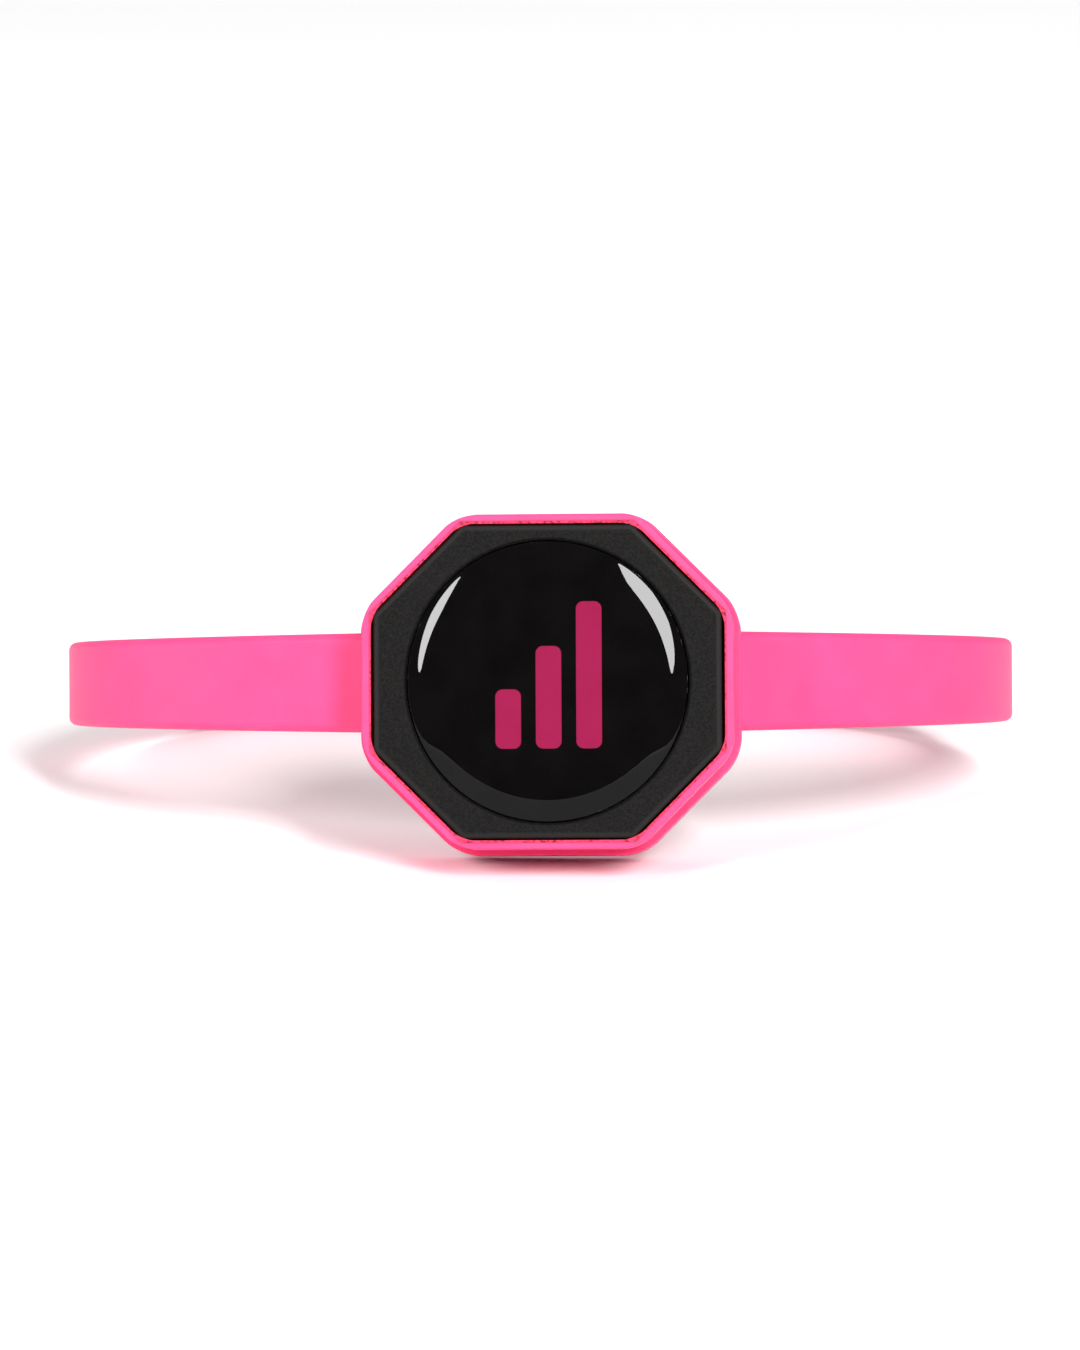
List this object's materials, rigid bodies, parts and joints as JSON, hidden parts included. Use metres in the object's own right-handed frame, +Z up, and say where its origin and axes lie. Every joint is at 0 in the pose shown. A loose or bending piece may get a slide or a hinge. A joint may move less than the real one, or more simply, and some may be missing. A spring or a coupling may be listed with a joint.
{
  "type": "fitness tracker band",
  "caption": "Slim silicone wrist band with an eight-sided tracker module, a domed round button face and a peg clasp.",
  "frame": {"origin": "on the table under the middle of the band's bounding box, with the band set down on the cradle's lower rear edge and the clasp end's lower edge", "axes": "+X across the wrist to the right as the face is seen, -Y the way the face looks, +Z up; the strap loop and the face lean back by 11.84 degrees about X, and the pod sits 1.9 degrees further up and 1.5 degrees to the left in its soft strap"},
  "size_m": [0.0746, 0.0598, 0.0268],
  "materials": {
    "silicone": "satin moulded silicone, bright pink",
    "black_plastic": "fine spark-eroded grain, matte black",
    "gloss_black": "polished black dome",
    "printed_film": "screen print on clear film",
    "inner_plastic": "plain moulded",
    "black_rubber": "matte",
    "steel": "fine brushed",
    "spring_metal": "gold plated",
    "board": "solder mask",
    "chip": "moulded epoxy",
    "ceramic": "fired ceramic"
  },
  "bodies": {
    "band": {"cradle": "silicone", "strap_left": "silicone", "strap_right": "silicone"},
    "clasp_end": {"strap_clasp_end": "silicone", "clasp": "steel"},
    "tail": {"strap_tail": "silicone"},
    "module": {"front_bezel": "black_plastic", "rear_case": "black_plastic", "case_seal": "black_rubber", "case_screw_1": "steel", "case_screw_2": "steel", "case_screw_3": "steel", "case_screw_4": "steel", "lens_return_ring": "black_rubber", "main_board": "board", "tact_switch": "steel", "bluetooth_chip": "chip", "accelerometer": "chip", "memory_chip": "chip", "clock_crystal": "steel", "chip_antenna": "ceramic", "light_left": "ceramic", "light_middle": "ceramic", "light_right": "ceramic", "light_mask": "inner_plastic", "battery_tray": "inner_plastic", "coin_cell": "steel", "negative_contact": "spring_metal", "positive_contact": "spring_metal"},
    "button": {"dome_lens": "gloss_black", "graphic_film": "printed_film", "button_plate": "inner_plastic"},
    "plunger": {"switch_plunger": "inner_plastic"},
    "door": {"battery_door": "black_plastic", "door_seal": "black_rubber"}
  },
  "joints": [
    {"name": "clasp_end_flex", "type": "hinge", "parent": "band", "child": "clasp_end", "pos_m": [-0.024, 0.02572, 0.00369], "axis": [0, 0.2053, 0.9787], "range_deg": [0, 70], "stiffness_Nm_per_rad": 0.01},
    {"name": "tail_flex", "type": "hinge", "parent": "band", "child": "tail", "pos_m": [0.024, 0.02365, 0.00413], "axis": [0, 0.2053, 0.9787], "range_deg": [0, 25], "stiffness_Nm_per_rad": 0.01},
    {"name": "module_slide", "type": "slide", "parent": "band", "child": "module", "axis": [-0.0488, -0.9668, 0.2508], "range_m": [0, 0.012]},
    {"name": "button_press", "type": "slide", "parent": "module", "child": "button", "axis": [0.0488, 0.9668, -0.2508], "range_m": [0, 0.00025], "stiffness_N_per_m": 1500},
    {"name": "plunger_press", "type": "slide", "parent": "module", "child": "plunger", "axis": [0.0488, 0.9668, -0.2508], "range_m": [0, 0.00025]},
    {"name": "door_turn", "type": "hinge", "parent": "module", "child": "door", "pos_m": [0.00094, -0.01797, 0.01248], "axis": [0.0488, 0.9668, -0.2508], "range_deg": [0, 90]}
  ],
  "couplings": [
    {"joint": "plunger_press", "follows": "button_press", "ratio": 1}
  ]
}
